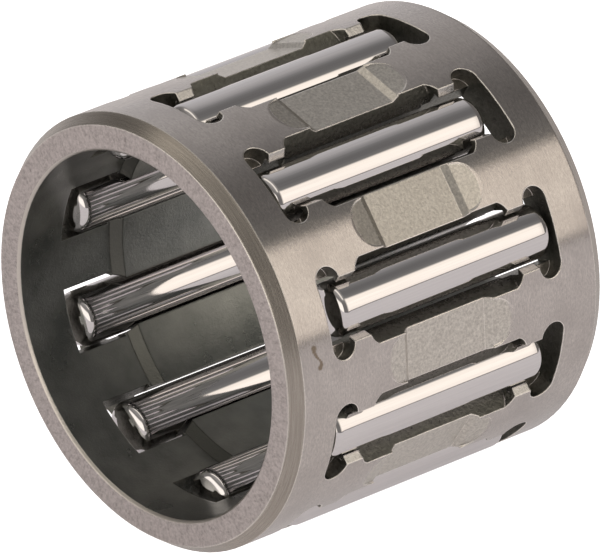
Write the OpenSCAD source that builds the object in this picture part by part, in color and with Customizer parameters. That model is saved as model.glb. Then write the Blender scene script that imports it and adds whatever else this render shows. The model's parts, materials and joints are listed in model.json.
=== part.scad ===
// Needle roller and cage assembly: a one-piece steel cage that carries a ring of loose rollers.
// It has no rings of its own. The rollers run on a plain shaft and in a plain housing bore.
// The axis lies along Y, the origin is at the centre of the bore, and Z is up. All sizes are in mm.

/* [Running sizes] */
// Diameter of the shaft that the rollers run on
shaft_d = 15; // [12:0.5:20]
// Diameter of each roller
roller_d = 2.5; // [2:0.1:3.2]
// Overall length of each roller
roller_len = 12.2; // [9.8:0.1:17.8]
// Number of rollers, equally spaced round the cage
roller_count = 10; // [8:1:12]

/* [Roller shape and clearances] */
// Radius of the rounded corner at each end of a roller
roller_corner_r = 0.45; // [0.2:0.05:0.6]
// Height of the shallow dome on each end of a roller
roller_dome_h = 0.12; // [0.05:0.01:0.2]
// Radial gap between a roller and the channel that guides it
side_gap = 0.15; // [0.05:0.05:0.2]
// Total endwise play of a roller in its pocket
end_play = 0.8; // [0.4:0.1:1.6]
// Turn of the first roller round the axis, in degrees from X towards Z
first_angle = 21; // [0:1:36]
// Share of the endwise play that each roller has slid by at rest, from -1 near to 1 far, used in turn
rest_slide = [0.8, -0.9, -0.8, 0.3, -0.2, -0.25, 0.05, 0.4, 0.1, -0.9];
// Share of the side gap that each roller has sunk by at rest, from 0 to 1, used in turn
rest_sink = [0, 0.8, 0.8, 0.8, 0.7, 0.7, 0, 0.8, 0, 0];

/* [Cage] */
// Width of the solid rim at each end of the cage
rim_w = 2.4; // [1.6:0.1:4]
// Radial gap between the cage and the housing bore that guides it
housing_gap = 0.075; // [0.05:0.005:0.2]
// Radial gap between the shaft and the bore of the rims
rim_shaft_gap = 0.82; // [0.6:0.02:1]
// Radial gap between the shaft and the thicker middle of the bars
bar_shaft_gap = 0.4; // [0.3:0.05:0.45]
// Length of the chamfer on the outer corners, along the axis
chamfer_len = 0.6; // [0.2:0.05:1]
// Depth of the chamfer on the outer corners, across the axis
chamfer_depth = 0.42; // [0.2:0.02:0.8]
// Size of the small edge break inside each end
edge_break = 0.12; // [0.05:0.01:0.2]

/* [Pockets] */
// How far the flared mouth opens past the roller on each side, at the surface
mouth_over = 0.78; // [0.5:0.02:0.8]
// Radius of the rounded ends of the flared mouth
mouth_end_r = 0.9; // [0.5:0.05:1]
// How far the retaining lips stand back from the roller's side, at the surface
lip_over = 0.26; // [0.2:0.02:0.3]
// How far the inner edge of a retaining lip reaches over the roller
lip_hold = 0.06; // [0.06:0.02:0.2]
// Length of the retaining lips, along the axis
lip_len = 0.86; // [0.5:0.02:1.2]
// Height of the straight inner edge of the retaining lips
lip_land = 0.05; // [0.02:0.01:0.1]
// Length of the end windows that go through to the bore, along the axis
window_len = 2.63; // [2.3:0.01:3]
// How far the foot of the bars' thicker middle stands back from the end windows
window_land = 0.1; // [0.05:0.05:0.3]
// How far each end window opens past the round channel on each side
window_over = 0.05; // [0.05:0.05:0.2]
// Radius of the round relief in each corner of a pocket
relief_r = 0.62; // [0.4:0.02:0.7]
// How far the corner reliefs reach past the roller on each side
relief_over = 0.8; // [0.6:0.02:0.85]
// Depth of the corner reliefs
relief_depth = 0.95; // [0.6:0.05:1.1]

/* [Flats on the bars] */
// Depth of the milled flat across the middle of each bar
flat_depth = 0.35; // [0.2:0.05:0.5]
// Half the length of the milled flat
flat_half = 2.18; // [1.5:0.02:2.4]
// Length of the steep step at each end of the flat
step_len = 0.3; // [0.1:0.05:0.5]
// Depth of the shallow run-out where it meets the step
runout_depth = 0.16; // [0.05:0.01:0.2]
// How far the round end of a run-out stands past the side of the bar
runout_over = 0.03; // [0:0.01:0.1]

/* [Hidden] */
shaft_r = shaft_d / 2;
roller_r = roller_d / 2;
pitch_r = shaft_r + roller_r;
cage_r = pitch_r + roller_r - housing_gap;
rim_bore_r = shaft_r + rim_shaft_gap;
middle_bore_r = shaft_r + bar_shaft_gap;
pocket_half = (roller_len + end_play) / 2;
cage_half = pocket_half + rim_w;
pitch_angle = 360 / roller_count;

// half widths of a pocket, measured square to the roller's own radius
channel_r = roller_r + side_gap;
mouth_half_w = roller_r + mouth_over;
lip_half_w = roller_r + lip_over;
lip_tip_half_w = roller_r - lip_hold;
window_half_w = channel_r + window_over;
relief_half_w = roller_r + relief_over;

// where the lips' inner edge clears the roller, above the roller's centre
lip_tip_rise = sqrt(pow(channel_r, 2) - pow(lip_tip_half_w, 2));
relief_floor_r = cage_r - relief_depth;
window_top_r = pitch_r + lip_tip_rise - lip_land;
relief_centre_y = pocket_half - relief_r;
relief_centre_w = relief_half_w - relief_r;
lip_end_y = relief_centre_y - relief_r;
mouth_reach = lip_end_y - lip_len;
mouth_half = mouth_reach - mouth_end_r;
// the thicker middle of the bars slopes down at 45 degrees to a foot beside the end windows
window_start = pocket_half - window_len;
middle_foot_y = window_start - window_land;
bar_middle_half = middle_foot_y - (rim_bore_r - middle_bore_r);

// half the width of a bar at the cage's surface
bar_half_w = cage_r * sin(pitch_angle / 2 - asin(mouth_half_w / cage_r));
runout_r = bar_half_w + runout_over;
runout_y = flat_half + step_len;

// how far a cutting shape runs past the surface that it opens
past = 1;

$fn = 96;

function roller_name(i) = str("roller_", i < 10 ? "0" : "", i);
function roller_angle(i) = first_angle + (i - 1) * pitch_angle;
function roller_slide(i) = rest_slide[(i - 1) % len(rest_slide)] * end_play / 2;

// how far a roller hangs below its middle place, where the surface that the cage lies on leaves it room
function roller_sink(i) = min(
    rest_sink[(i - 1) % len(rest_sink)] * side_gap,
    pitch_r * sin(roller_angle(i)) + cage_r - roller_r
);

// turns a shape drawn with its radius along X to a place round the cage's axis
module at_angle(degrees) {
    rotate([0, -degrees, 0]) children();
}

// spins a profile drawn with X as the radius and Y as the axis about the Y axis
module turned() {
    rotate([-90, 0, 0]) rotate_extrude() children();
}

// raises an outline drawn with X as the radius and Y as the height across the radius along the axis
module along_axis(from, to) {
    translate([0, to, 0]) rotate([90, 0, 0]) linear_extrude(to - from) children();
}

// raises an outline drawn on the unrolled surface, X along the axis and Y round it, along the radius
module along_radius(from, to) {
    translate([from, 0, 0]) rotate([90, 0, 90]) linear_extrude(to - from) children();
}

// raises an outline drawn with X as the radius and Y as the axis across a bar, to both sides
module across_bar(half_w) {
    translate([0, 0, -half_w]) linear_extrude(2 * half_w) children();
}

// the sleeve's profile from the middle of the cage to one end, from its bore out to its surface
sleeve_half = [
    [middle_bore_r, bar_middle_half],
    [rim_bore_r, middle_foot_y],
    [rim_bore_r, cage_half - edge_break],
    [rim_bore_r + edge_break, cage_half],
    [cage_r - chamfer_depth, cage_half],
    [cage_r, cage_half - chamfer_len]
];

// the two halves of the profile are mirror images
module sleeve() {
    mirrored = [for (i = [len(sleeve_half) - 1 : -1 : 0]) [sleeve_half[i][0], -sleeve_half[i][1]]];
    turned() polygon(concat(sleeve_half, mirrored));
}

// the round channel that guides the roller and holds it from falling inwards
module guide_channel() {
    translate([pitch_r, pocket_half, 0]) rotate([90, 0, 0]) cylinder(r = channel_r, h = 2 * pocket_half);
}

// the flared mouth between the lips, wide at the surface and down to the channel at the pitch circle
module flared_mouth() {
    flare_per_mm = (mouth_half_w - channel_r) / (cage_r - pitch_r);
    top_r = cage_r + past;
    top_half_w = mouth_half_w + past * flare_per_mm;
    mouth_end_w = mouth_half_w - mouth_end_r;
    intersection() {
        along_axis(-mouth_reach, mouth_reach) polygon([
            [pitch_r, -channel_r],
            [top_r, -top_half_w],
            [top_r, top_half_w],
            [pitch_r, channel_r]
        ]);
        along_radius(pitch_r - past, top_r) {
            square([2 * mouth_half, 2 * top_half_w], center = true);
            for (end = [-1, 1], side = [-1, 1]) {
                translate([end * mouth_half, side * mouth_end_w]) circle(mouth_end_r);
            }
            square([2 * mouth_reach, 2 * mouth_end_w], center = true);
        }
    }
}

// the bevelled slot between a pair of retaining lips
module lip_slot() {
    slope_per_mm = (lip_half_w - lip_tip_half_w) / (cage_r - pitch_r - lip_tip_rise);
    along_axis(mouth_half, relief_centre_y) polygon([
        [pitch_r, -lip_tip_half_w],
        [pitch_r + lip_tip_rise, -lip_tip_half_w],
        [cage_r + past, -lip_half_w - past * slope_per_mm],
        [cage_r + past, lip_half_w + past * slope_per_mm],
        [pitch_r + lip_tip_rise, lip_tip_half_w],
        [pitch_r, lip_tip_half_w]
    ]);
}

// the window under the lips, which goes right through to the bore and clears the roller's end
module end_window() {
    along_axis(window_start, pocket_half) {
        translate([middle_bore_r - past, -window_half_w]) {
            square([window_top_r - middle_bore_r + past, 2 * window_half_w]);
        }
    }
}

// the end of the pocket at the surface, with a round relief in each corner
module end_mouth() {
    along_radius(relief_floor_r, cage_r + past) {
        translate([lip_end_y, -relief_centre_w]) square([2 * relief_r, 2 * relief_centre_w]);
        for (side = [-1, 1]) {
            translate([relief_centre_y, side * relief_centre_w]) circle(relief_r);
        }
    }
}

module pocket() {
    guide_channel();
    flared_mouth();
    for (end = [0, 1]) {
        mirror([0, end, 0]) {
            lip_slot();
            end_window();
            end_mouth();
        }
    }
}

// the milled flat across the middle of a bar: a floor, two steep steps and two round-ended run-outs
module bar_flat() {
    runout_far = runout_y + runout_r;
    slope_per_mm = runout_depth / runout_r;
    cut_half_w = bar_half_w + past;
    intersection() {
        across_bar(cut_half_w) polygon([
            [cage_r - flat_depth, -flat_half],
            [cage_r - runout_depth, -runout_y],
            [cage_r + past * slope_per_mm, -runout_far - past],
            [cage_r + past, -runout_far - past],
            [cage_r + past, runout_far + past],
            [cage_r + past * slope_per_mm, runout_far + past],
            [cage_r - runout_depth, runout_y],
            [cage_r - flat_depth, flat_half]
        ]);
        along_radius(cage_r - flat_depth - past, cage_r + past) {
            square([2 * runout_y, 2 * cut_half_w], center = true);
            for (end = [-1, 1]) {
                translate([end * runout_y, 0]) circle(runout_r);
            }
        }
    }
}

module cage() {
    color("#8f8a85") difference() {
        sleeve();
        for (i = [1 : roller_count]) {
            at_angle(roller_angle(i)) pocket();
            at_angle(roller_angle(i) + pitch_angle / 2) bar_flat();
        }
    }
}

// half of a roller's profile, from its middle to one domed end
module roller_half_profile() {
    half = roller_len / 2;
    corner_y = half - roller_dome_h - roller_corner_r;
    // the dome is an arc that spans the flat part of the end
    dome_half_w = roller_r - roller_corner_r;
    dome_r = (pow(dome_half_w, 2) + pow(roller_dome_h, 2)) / (2 * roller_dome_h);
    square([roller_r, corner_y]);
    square([dome_half_w, half - roller_dome_h]);
    translate([dome_half_w, corner_y]) intersection() {
        circle(roller_corner_r);
        square(roller_corner_r);
    }
    intersection() {
        translate([0, half - dome_r]) circle(dome_r, $fn = 512);
        translate([0, half - roller_dome_h]) square([dome_half_w, roller_dome_h]);
    }
}

module roller(i) {
    color("#d9d7d4") translate([0, roller_slide(i), -roller_sink(i)]) {
        at_angle(roller_angle(i)) translate([pitch_r, 0, 0]) turned() union() {
            roller_half_profile();
            mirror([0, 1]) roller_half_profile();
        }
    }
}

cage();
for (i = [1 : roller_count]) {
    roller(i);
}
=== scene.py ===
"""Looks of a needle roller and cage assembly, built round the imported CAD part.

The bearing's axis lies along Y, its near face looks towards -Y, and it lies on a pale floor.
"""

import json
import math

import bpy
from mathutils import Matrix, Vector

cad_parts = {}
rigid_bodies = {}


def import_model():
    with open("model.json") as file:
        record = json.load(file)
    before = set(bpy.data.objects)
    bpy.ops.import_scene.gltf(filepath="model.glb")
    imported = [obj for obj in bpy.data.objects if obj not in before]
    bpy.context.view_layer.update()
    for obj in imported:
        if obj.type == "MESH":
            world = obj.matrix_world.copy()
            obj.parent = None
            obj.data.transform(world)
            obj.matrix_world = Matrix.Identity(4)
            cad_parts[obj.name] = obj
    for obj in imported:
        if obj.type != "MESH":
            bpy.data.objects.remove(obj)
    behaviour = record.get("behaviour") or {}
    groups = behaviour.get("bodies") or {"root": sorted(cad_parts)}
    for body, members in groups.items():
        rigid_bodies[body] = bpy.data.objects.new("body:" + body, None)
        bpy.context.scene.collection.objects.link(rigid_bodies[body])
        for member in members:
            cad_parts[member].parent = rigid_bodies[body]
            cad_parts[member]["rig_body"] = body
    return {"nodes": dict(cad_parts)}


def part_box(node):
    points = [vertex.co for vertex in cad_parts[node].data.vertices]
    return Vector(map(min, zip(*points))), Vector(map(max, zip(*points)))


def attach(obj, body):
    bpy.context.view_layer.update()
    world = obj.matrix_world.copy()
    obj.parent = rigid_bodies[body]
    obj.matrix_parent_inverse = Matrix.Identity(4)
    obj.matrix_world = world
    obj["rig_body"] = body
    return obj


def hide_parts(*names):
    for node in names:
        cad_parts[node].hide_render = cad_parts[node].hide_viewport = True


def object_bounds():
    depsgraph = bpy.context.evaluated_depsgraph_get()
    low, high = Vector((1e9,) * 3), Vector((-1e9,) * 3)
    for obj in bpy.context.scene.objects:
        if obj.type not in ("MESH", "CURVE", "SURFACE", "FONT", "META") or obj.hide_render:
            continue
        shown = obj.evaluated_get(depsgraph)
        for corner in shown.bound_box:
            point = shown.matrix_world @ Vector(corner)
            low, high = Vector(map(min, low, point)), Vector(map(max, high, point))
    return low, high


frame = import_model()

CAD_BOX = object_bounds()
MM = 0.001

# camera: the direction that it looks from, its roll, and a long lens far away
AZIMUTH = math.radians(49.27)
ELEVATION = math.radians(26.31)
ROLL = math.radians(-0.462)
DISTANCE = 0.642
LENS_MM = 890.7
SHIFT = (0.0002, -0.0020)

# the cage's radius and half width in mm, from its box
CAGE_LOW, CAGE_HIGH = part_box("cage")
CAGE_R = (CAGE_HIGH.x - CAGE_LOW.x) / 2 / MM
CAGE_HALF = (CAGE_HIGH.y - CAGE_LOW.y) / 2 / MM

# rollers: sides of the turned mesh, radius of the corners and height of the domed ends
ROLLERS = sorted(name for name in frame["nodes"] if name.startswith("roller_"))
ROLLER_SIDES = 160
ROLLER_CORNER_R = 0.45 * MM
ROLLER_DOME_H = 0.12 * MM
ROLLER_SHANK_STEPS = 6
ROLLER_END_STEPS = 8

# what tells the cage's surfaces apart. Each pair is where a mask is 0 and where it is 1.
# Depths in mm, under the outside surface:
SKIN = (0.03, 0.012)
FLAT_DEPTH = (0.6, 0.55)
WEAR_AND_GLINT_DEPTH = (0.6, 0.3)
# and from the nearer end face:
END_SKIN = (0.05, 0.02)
CHAMFER_DEPTH = (0.62, 0.6)
CORNER_DEPTH = (0.75, 0.7)
# Outward part of the surface's normal, and for the ends and the bore's slope its part along the axis:
FACES_OUT = (0.97, 0.99)
FACES_ALONG = (0.94, 0.98)
CHAMFER_OUTWARD = 0.82
CHAMFER_OFF_BY = (0.12, 0.04)
FACES_IN = (-0.5, -0.7)
SLOPE_ALONG = (0.4, 0.6)
FLAT_OUTWARD = (0.8, 0.84)
WALL_OUTWARD = (0.8, 0.7)
FLARE_ABOVE = (0.3, 0.36)
FLARE_BELOW = (0.6, 0.55)
# How far the rounded edge's normal agrees with the face's, where an edge is painted pale, partly as wear and
# partly as a painted highlight:
WEAR_AND_GLINT_AGREES = (0.995, 0.95)

# radius of the rounded edges in mm: least and most along the pockets, and at the end faces
POCKET_ROUNDING = (0.02, 0.16)
CORNER_ROUNDING = 0.12

# a thin rust mark outside, beside the near rim: angle round the axis in degrees, place along it
# and radius in mm
RUST = (
    (14.8, -7.51, 0.15), (14.1, -7.53, 0.12), (13.3, -7.50, 0.09), (12.6, -7.44, 0.08), (12.0, -7.36, 0.07),
    (11.4, -7.29, 0.07), (10.8, -7.25, 0.08), (10.1, -7.25, 0.11), (9.5, -7.33, 0.13),
)
# parts of a spot's radius where it starts and where it is full, and how ragged its edge is in mm
RUST_EDGE = (1.3, 0.5)
RUST_RAGGED = 0.12

# the floor's half size in metres
FLOOR_REACH = 1.5

# the studio's colours on the far side, by the angle round the bearing's axis from X towards Z, in
# degrees: a floor zone, a thin dark horizon, a bright warm panel, a dark ceiling and a grey left side
PANELS = (
    (-180, 0.62, 0.60, 0.60), (-1.5, 0.60, 0.58, 0.58), (-0.5, 0.16, 0.15, 0.145), (1.5, 0.18, 0.17, 0.16),
    (3.5, 1.28, 1.17, 1.04), (25, 1.42, 1.31, 1.16), (47, 1.34, 1.23, 1.08), (53, 0.25, 0.245, 0.23),
    (66, 0.18, 0.175, 0.17), (80, 0.175, 0.17, 0.165), (94, 0.22, 0.215, 0.21), (107, 0.34, 0.33, 0.325),
    (122, 0.48, 0.465, 0.455), (145, 0.56, 0.545, 0.54), (180, 0.66, 0.64, 0.64),
)
# where the studio's lights begin and end, as parts of a direction's Y and Z, and angles in radians
PANEL_END_Y = (0.65, 0.71)
PANEL_FOOT = (0.0, 0.06)
NEAR_TO_FAR_Y = (-0.1, 0.3)
NEAR_RISES_Z = (0.5, 0.95)
LOW_LIGHT_Y = (-0.62, -0.7)
LOW_LIGHT_Z = (0.6, 0.4)
STRIP_NEAR_Y = (-0.38, -0.33)
STRIP_FAR_Y = (-0.1, -0.15)
STRIP_Z = (0.7, 0.8)


# ---------------------------------------------------------------- node helpers

class Graph:
    """A material's or world's nodes, made and joined by short calls."""

    def __init__(self, tree):
        self.tree = tree
        tree.nodes.clear()

    def node(self, kind, inputs=None, **settings):
        made = self.tree.nodes.new(kind)
        for name, value in settings.items():
            setattr(made, name, value)
        for name, value in (inputs or {}).items():
            self.feed(value, made.inputs[name])
        return made

    def feed(self, value, socket):
        if isinstance(value, bpy.types.NodeSocket):
            self.tree.links.new(value, socket)
        else:
            socket.default_value = value

    def math(self, operation, a, b=0.0):
        return self.node("ShaderNodeMath", {0: a, 1: b}, operation=operation).outputs[0]

    def times(self, a, *more):
        for b in more:
            a = self.math("MULTIPLY", a, b)
        return a

    def plus(self, a, b):
        return self.math("ADD", a, b)

    def minus(self, a, b):
        return self.math("SUBTRACT", a, b)

    def absolute(self, value):
        return self.math("ABSOLUTE", value)

    def smooth(self, value, low, high):
        """0 where value is at low, 1 where it is at high, with a smooth step between them."""
        made = self.node(
            "ShaderNodeMapRange",
            {"Value": value, "From Min": low, "From Max": high},
            interpolation_type="SMOOTHSTEP",
        )
        return made.outputs["Result"]

    def spread(self, value, low, high):
        """Value from 0 to 1, spread over low to high."""
        made = self.node("ShaderNodeMapRange", {"Value": value, "To Min": low, "To Max": high})
        return made.outputs["Result"]

    def mix(self, share, a, b):
        """Colour a where share is 0 and b where it is 1."""
        made = self.node("ShaderNodeMix", data_type="RGBA")
        self.feed(share, made.inputs[0])
        self.feed(a, made.inputs[6])
        self.feed(b, made.inputs[7])
        return made.outputs[2]

    def blend(self, share, a, b):
        """Number a where share is 0 and b where it is 1."""
        return self.node("ShaderNodeMix", {0: share, 2: a, 3: b}, data_type="FLOAT").outputs[0]

    def vector(self, x, y, z):
        return self.node("ShaderNodeCombineXYZ", {0: x, 1: y, 2: z}).outputs[0]

    def split(self, vector):
        return self.node("ShaderNodeSeparateXYZ", {0: vector}).outputs

    def scaled(self, vector, scale):
        made = self.node("ShaderNodeVectorMath", {0: vector, "Scale": scale}, operation="SCALE")
        return made.outputs[0]

    def measure(self, operation, a, b):
        """A number from two vectors, such as their distance."""
        return self.node("ShaderNodeVectorMath", {0: a, 1: b}, operation=operation).outputs["Value"]

    def noise(self, vector, scale, detail=4.0, roughness=0.55):
        made = self.node(
            "ShaderNodeTexNoise",
            {"Vector": vector, "Scale": scale, "Detail": detail, "Roughness": roughness},
        )
        return made.outputs["Fac"]

    def ramp(self, value, stops):
        made = self.node("ShaderNodeValToRGB", {"Fac": value})
        elements = made.color_ramp.elements
        while len(elements) < len(stops):
            elements.new(0.5)
        for element, (position, colour) in zip(elements, stops):
            element.position = position
            element.color = (*colour, 1)
        return made.outputs["Color"]


def rgba(r, g, b):
    return (r, g, b, 1.0)


def material(name):
    made = bpy.data.materials.new(name)
    made.use_nodes = True
    return made, Graph(made.node_tree)


# ---------------------------------------------------------------- cage steel

class CageSurface:
    """Masks for each kind of surface on the cage, and the noises that its finishes are made of."""

    def __init__(self, g):
        coord = g.node("ShaderNodeTexCoord")
        self.place = g.scaled(coord.outputs["Object"], 1 / MM)
        x, self.y, z = g.split(self.place)
        nx, ny, nz = g.split(coord.outputs["Normal"])
        self.radius = g.math("SQRT", g.plus(g.times(x, x), g.times(z, z)))
        self.cos_t = g.math("DIVIDE", x, self.radius)
        self.sin_t = g.math("DIVIDE", z, self.radius)
        self.outward = g.plus(g.times(nx, self.cos_t), g.times(nz, self.sin_t))
        self.along = g.absolute(ny)
        self.end_y = g.absolute(self.y)
        self.mark_surfaces(g)
        self.make_noises(g)

    def under_outside(self, g, limits):
        low, high = limits
        return g.smooth(self.radius, CAGE_R - low, CAGE_R - high)

    def under_end(self, g, limits):
        low, high = limits
        return g.smooth(self.end_y, CAGE_HALF - low, CAGE_HALF - high)

    def mark_surfaces(self, g):
        skin = self.under_outside(g, SKIN)
        self.outside = g.times(g.smooth(self.outward, *FACES_OUT), skin)
        self.end_face = g.times(g.smooth(self.along, *FACES_ALONG), self.under_end(g, END_SKIN))
        self.rim = self.under_end(g, CHAMFER_DEPTH)
        off_by = g.absolute(g.minus(self.outward, CHAMFER_OUTWARD))
        self.chamfer = g.times(self.rim, g.smooth(off_by, *CHAMFER_OFF_BY))
        self.bore = g.smooth(self.outward, *FACES_IN)
        self.slope = g.times(self.bore, g.smooth(self.along, *SLOPE_ALONG))
        upward = g.times(g.smooth(self.outward, *FLAT_OUTWARD), self.under_outside(g, FLAT_DEPTH))
        self.flat = g.times(upward, g.minus(1.0, skin), g.minus(1.0, self.rim))
        sideways = g.smooth(g.absolute(self.outward), *WALL_OUTWARD)
        self.wall = g.times(sideways, g.minus(1.0, self.end_face), g.minus(1.0, self.chamfer))
        self.flare = g.times(g.smooth(self.outward, *FLARE_ABOVE), g.smooth(self.outward, *FLARE_BELOW))

    def round_axis(self, g, fineness, other):
        """A place for noise: fineness round the axis, and other (along it or outwards) in Y."""
        return g.vector(g.times(self.cos_t, fineness), other, g.times(self.sin_t, fineness))

    def make_noises(self, g):
        # turned grain runs round the axis, and grinding marks on the ends run outwards
        self.turned = g.noise(self.round_axis(g, 4.0, g.times(self.y, 16.0)), 1.0, detail=6.0, roughness=0.75)
        self.speck = g.noise(self.round_axis(g, 60.0, g.times(self.y, 14.0)), 1.0, detail=3.0, roughness=0.7)
        outwards = g.times(self.radius, 1.6)
        self.ground = g.noise(self.round_axis(g, 55.0, outwards), 1.0, detail=5.0, roughness=0.7)
        # the rest are the same in all directions
        self.hatch = g.noise(self.place, 7.0, detail=3.0, roughness=0.8)
        self.rough = g.noise(self.place, 5.0, detail=6.0, roughness=0.7)
        self.cloud = g.noise(self.place, 0.45)
        self.milled = g.noise(self.place, 8.0, roughness=0.75)
        self.burr = g.noise(self.place, 1.3, detail=2.0)


def cage_colour(g, on):
    steel = g.mix(g.spread(on.turned, -0.5, 1.5), rgba(0.42, 0.385, 0.375), rgba(0.55, 0.51, 0.495))
    steel = g.mix(g.spread(on.speck, -0.9, 1.7), steel, rgba(0.68, 0.635, 0.60))
    steel = g.mix(g.spread(on.cloud, -0.7, 1.1), steel, rgba(0.43, 0.395, 0.38))
    face = g.mix(g.spread(on.ground, -0.9, 1.7), rgba(0.30, 0.268, 0.258), rgba(0.56, 0.507, 0.495))
    face = g.mix(g.spread(on.hatch, -1.2, 2.1), face, rgba(0.60, 0.543, 0.53))
    brown = g.mix(g.spread(on.turned, -0.2, 1.2), rgba(0.25, 0.227, 0.20), rgba(0.54, 0.49, 0.445))
    # painted shade: the pocket walls are painted dark
    pocket = g.mix(g.spread(on.rough, -0.5, 1.2), rgba(0.10, 0.10, 0.085), rgba(0.27, 0.265, 0.235))
    polished = g.mix(g.spread(on.rough, -0.3, 1.2), rgba(0.42, 0.41, 0.39), rgba(0.60, 0.58, 0.57))
    milled = g.mix(g.spread(on.milled, -0.4, 1.4), rgba(0.36, 0.335, 0.31), rgba(0.86, 0.82, 0.755))
    # painted shade: the bore is painted darker than the steel outside
    inner = g.mix(g.spread(on.cloud, -0.5, 1.5), rgba(0.17, 0.18, 0.17), rgba(0.37, 0.375, 0.355))
    # painted shade: the slope inside is painted dark, and a painted highlight: the broken corner at the
    # bore's end is painted pale
    slope = g.mix(on.rim, rgba(0.105, 0.105, 0.095), rgba(0.64, 0.595, 0.55))
    colour = g.mix(on.end_face, steel, face)
    colour = g.mix(on.chamfer, colour, brown)
    colour = g.mix(on.wall, colour, g.mix(on.flare, pocket, polished))
    colour = g.mix(on.flat, colour, milled)
    colour = g.mix(on.bore, colour, inner)
    colour = g.mix(on.slope, colour, slope)
    return g.mix(rust_mark(g, on), colour, rgba(0.27, 0.22, 0.17))


def rust_mark(g, on):
    """1 on the rust mark, a chain of small ragged spots."""
    mark = 0.0
    ragged = g.times(g.minus(on.milled, 0.5), RUST_RAGGED)
    edge, heart = RUST_EDGE
    for angle, place_y, size in RUST:
        turn = math.radians(angle)
        centre = (CAGE_R * math.cos(turn), place_y, CAGE_R * math.sin(turn))
        away = g.plus(g.measure("DISTANCE", on.place, centre), ragged)
        mark = g.math("MAXIMUM", mark, g.smooth(away, size * edge, size * heart))
    return mark


def cage_roughness(g, on):
    value = g.blend(on.end_face, g.spread(on.speck, 0.15, 0.21), g.spread(on.ground, 0.3, 0.44))
    value = g.blend(on.chamfer, value, g.spread(on.turned, 0.2, 0.34))
    walls = g.blend(on.flare, g.spread(on.rough, 0.2, 0.42), g.spread(on.rough, 0.08, 0.24))
    value = g.blend(on.wall, value, walls)
    value = g.blend(on.flat, value, g.spread(on.milled, 0.24, 0.4))
    return g.blend(on.bore, value, g.spread(on.cloud, 0.2, 0.4))


def cage_relief(g, on):
    """Height of the finish on each kind of surface, in mm."""
    relief = g.plus(g.times(on.turned, 0.003), g.times(on.speck, 0.002))
    relief = g.blend(on.end_face, relief, g.times(on.ground, 0.02))
    walls = g.blend(on.flare, g.times(on.rough, 0.05), g.times(on.rough, 0.012))
    relief = g.blend(on.wall, relief, walls)
    relief = g.blend(on.flat, relief, g.times(on.milled, 0.012))
    return g.blend(on.bore, relief, g.times(on.milled, 0.016))


def cage_steel():
    """Satin steel, different on each kind of surface: turned, ground, milled, or painted dark as shade in the
    pockets and the bore, with edges painted pale, partly as wear and partly as a painted highlight.
    """
    made, g = material("cage_steel")
    on = CageSurface(g)

    # rounded edges that catch the light, uneven where the burrs were taken off
    least, most = POCKET_ROUNDING
    at_corner = on.under_end(g, CORNER_DEPTH)
    rounding = g.blend(at_corner, g.spread(on.burr, least, most), CORNER_ROUNDING)
    edge = g.node("ShaderNodeBevel", {"Radius": g.times(rounding, MM)}, samples=8).outputs[0]
    agrees = g.measure("DOT_PRODUCT", edge, g.node("ShaderNodeNewGeometry").outputs["Normal"])
    # the rounded edges are painted pale and glossy, partly as wear and partly as a painted highlight
    wear_and_glint = g.times(g.smooth(agrees, *WEAR_AND_GLINT_AGREES), on.under_outside(g, WEAR_AND_GLINT_DEPTH))

    bump = g.node(
        "ShaderNodeBump",
        {"Strength": 1.0, "Distance": MM, "Height": cage_relief(g, on), "Normal": edge},
    )
    shader = g.node("ShaderNodeBsdfPrincipled", {
        "Base Color": g.mix(wear_and_glint, cage_colour(g, on), rgba(0.93, 0.89, 0.84)),
        "Metallic": 1.0,
        "Roughness": g.blend(wear_and_glint, cage_roughness(g, on), 0.2),
        "Anisotropic": g.times(on.outside, 0.9),
        "Anisotropic Rotation": 0.25,
        "Tangent": g.node("ShaderNodeTangent", direction_type="RADIAL", axis="Y").outputs[0],
        "Normal": bump.outputs[0],
    })
    g.node("ShaderNodeOutputMaterial", {"Surface": shader.outputs[0]})
    return made


# ---------------------------------------------------------------- roller steel

def roller_steel():
    """Superfinished steel, a mirror but for faint lengthwise streaks and lapping marks."""
    made, g = material("roller_steel")
    x, y, z = g.split(g.scaled(g.node("ShaderNodeTexCoord").outputs["Object"], 1 / MM))
    streak = g.noise(g.vector(g.times(x, 12.0), g.times(y, 0.2), g.times(z, 12.0)), 1.0)
    lap = g.noise(g.vector(x, g.times(y, 30.0), z), 1.0, detail=3.0)
    relief = g.plus(g.times(lap, 0.0002), g.times(streak, 0.00006))
    bump = g.node("ShaderNodeBump", {"Strength": 1.0, "Distance": MM, "Height": relief})
    shader = g.node("ShaderNodeBsdfPrincipled", {
        "Base Color": g.mix(g.spread(streak, -0.2, 1.2), rgba(0.68, 0.655, 0.665), rgba(0.77, 0.745, 0.75)),
        "Metallic": 1.0,
        "Roughness": g.spread(streak, 0.025, 0.06),
        "Normal": bump.outputs[0],
    })
    g.node("ShaderNodeOutputMaterial", {"Surface": shader.outputs[0]})
    return made


# ---------------------------------------------------------------- rollers

def roller_profile(radius, half):
    """The outline of a roller's far half, as pairs of distance from the axis and place along it.

    It runs from the middle, round the corner and up the dome, and stops short of the tip.
    """
    corner_y = half - ROLLER_DOME_H - ROLLER_CORNER_R
    dome_w = radius - ROLLER_CORNER_R
    dome_r = (dome_w**2 + ROLLER_DOME_H**2) / (2 * ROLLER_DOME_H)
    points = [(radius, corner_y * step / ROLLER_SHANK_STEPS) for step in range(ROLLER_SHANK_STEPS + 1)]
    for step in range(1, ROLLER_END_STEPS + 1):
        turn = math.radians(90) * step / ROLLER_END_STEPS
        r = dome_w + ROLLER_CORNER_R * math.cos(turn)
        points.append((r, corner_y + ROLLER_CORNER_R * math.sin(turn)))
    for step in range(ROLLER_END_STEPS - 1, 0, -1):
        r = dome_w * step / ROLLER_END_STEPS
        points.append((r, half - dome_r + math.sqrt(dome_r**2 - r**2)))
    return points


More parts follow.
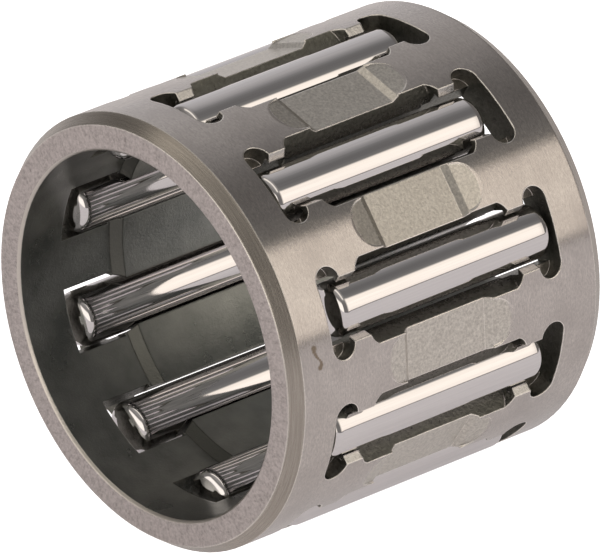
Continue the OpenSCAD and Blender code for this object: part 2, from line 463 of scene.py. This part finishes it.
def needle(node, steel):
    """A finely turned roller in the place of a CAD roller."""
    low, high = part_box(node)
    centre = (low + high) / 2
    half = (high.y - low.y) / 2
    radius = max(high.x - low.x, high.z - low.z) / 2
    far = roller_profile(radius, half)
    outline = [(r, -y) for r, y in reversed(far)] + far[1:]
    verts = [(0, -half, 0)]
    for r, y in outline:
        for side in range(ROLLER_SIDES):
            turn = math.tau * side / ROLLER_SIDES
            verts.append((r * math.cos(turn), y, r * math.sin(turn)))
    verts.append((0, half, 0))
    faces = []
    last = len(outline) - 1
    for side in range(ROLLER_SIDES):
        following = (side + 1) % ROLLER_SIDES
        faces.append((0, 1 + side, 1 + following))
        for ring in range(last):
            a = 1 + ring * ROLLER_SIDES
            b = a + ROLLER_SIDES
            faces.append((a + side, b + side, b + following, a + following))
        top = 1 + last * ROLLER_SIDES
        faces.append((top + following, top + side, len(verts) - 1))
    mesh = bpy.data.meshes.new(node.replace("roller", "needle"))
    mesh.from_pydata([Vector(v) + centre for v in verts], [], faces)
    mesh.shade_smooth()
    mesh.update()
    mesh.materials.append(steel)
    piece = bpy.data.objects.new(mesh.name, mesh)
    bpy.context.scene.collection.objects.link(piece)
    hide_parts(node)
    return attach(piece, frame["nodes"][node]["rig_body"])


# ---------------------------------------------------------------- stage

def floor():
    """A large pale floor just under the bearing, which the camera sees as plain white."""
    made, g = material("pale_floor")
    seen = g.node("ShaderNodeLightPath").outputs["Is Camera Ray"]
    diffuse = g.node("ShaderNodeBsdfDiffuse", {"Color": rgba(0.82, 0.78, 0.81)})
    glow = g.node("ShaderNodeEmission", {"Color": rgba(1, 1, 1), "Strength": g.blend(seen, 0.3, 1.2)})
    both = g.node("ShaderNodeAddShader", {0: diffuse.outputs[0], 1: glow.outputs[0]})
    g.node("ShaderNodeOutputMaterial", {"Surface": both.outputs[0]})
    mesh = bpy.data.meshes.new("floor")
    level = CAD_BOX[0].z
    far, near = FLOOR_REACH, -FLOOR_REACH
    corners = [(near, near, level), (far, near, level), (far, far, level), (near, far, level)]
    mesh.from_pydata(corners, [], [(0, 1, 2, 3)])
    mesh.materials.append(made)
    plane = bpy.data.objects.new("floor", mesh)
    bpy.context.scene.collection.objects.link(plane)


def studio():
    """Soft light from all round: a bright panel low on the right, a dark ceiling and a grey left side."""
    world = bpy.data.worlds.new("studio")
    world.use_nodes = True
    bpy.context.scene.world = world
    g = Graph(world.node_tree)
    x, y, z = g.split(g.node("ShaderNodeTexCoord").outputs["Generated"])
    turn = g.math("ARCTAN2", z, x)
    share = g.plus(g.math("DIVIDE", turn, math.tau), 0.5)
    far_side = g.ramp(share, [((angle + 180) / 360, colour) for angle, *colour in PANELS])
    # the bright panel ends some way back
    behind = g.mix(g.smooth(turn, *PANEL_FOOT), far_side, rgba(0.16, 0.15, 0.14))
    far_side = g.mix(g.smooth(y, *PANEL_END_Y), far_side, behind)
    near_side = g.mix(g.smooth(z, *NEAR_RISES_Z), rgba(0.20, 0.19, 0.18), rgba(0.38, 0.365, 0.34))
    # a small light low beside the camera
    low_light = g.times(g.smooth(y, *LOW_LIGHT_Y), g.smooth(z, *LOW_LIGHT_Z))
    near_side = g.mix(low_light, near_side, rgba(1.4, 1.32, 1.2))
    # a narrow light overhead, caught by the cage's near corner
    strip = g.times(g.smooth(y, *STRIP_NEAR_Y), g.smooth(y, *STRIP_FAR_Y), g.smooth(z, *STRIP_Z))
    near_side = g.mix(strip, near_side, rgba(1.1, 1.03, 0.92))
    light = g.mix(g.smooth(y, *NEAR_TO_FAR_Y), near_side, far_side)
    background = g.node("ShaderNodeBackground", {"Color": light, "Strength": 1.0})
    g.node("ShaderNodeOutputWorld", {"Surface": background.outputs[0]})


def camera():
    """A long lens at the photo's viewing angle."""
    back = Vector((
        math.sin(AZIMUTH) * math.cos(ELEVATION),
        -math.cos(AZIMUTH) * math.cos(ELEVATION),
        math.sin(ELEVATION),
    ))
    level = Vector((math.cos(AZIMUTH), math.sin(AZIMUTH), 0))
    right = level * math.cos(ROLL) + back.cross(level) * math.sin(ROLL)
    turned = Matrix((right, back.cross(right), back)).transposed().to_4x4()
    data = bpy.data.cameras.new("camera")
    data.lens = LENS_MM
    data.shift_x, data.shift_y = SHIFT
    made = bpy.data.objects.new("camera", data)
    made.matrix_world = Matrix.Translation(back * DISTANCE) @ turned
    bpy.context.scene.collection.objects.link(made)
    bpy.context.scene.camera = made


# ---------------------------------------------------------------- the scene

bpy.context.scene.view_settings.view_transform = "Standard"
camera()
studio()
floor()

cage = frame["nodes"]["cage"]
cage.data.materials.clear()
cage.data.materials.append(cage_steel())
polished = roller_steel()
for name in ROLLERS:
    needle(name, polished)
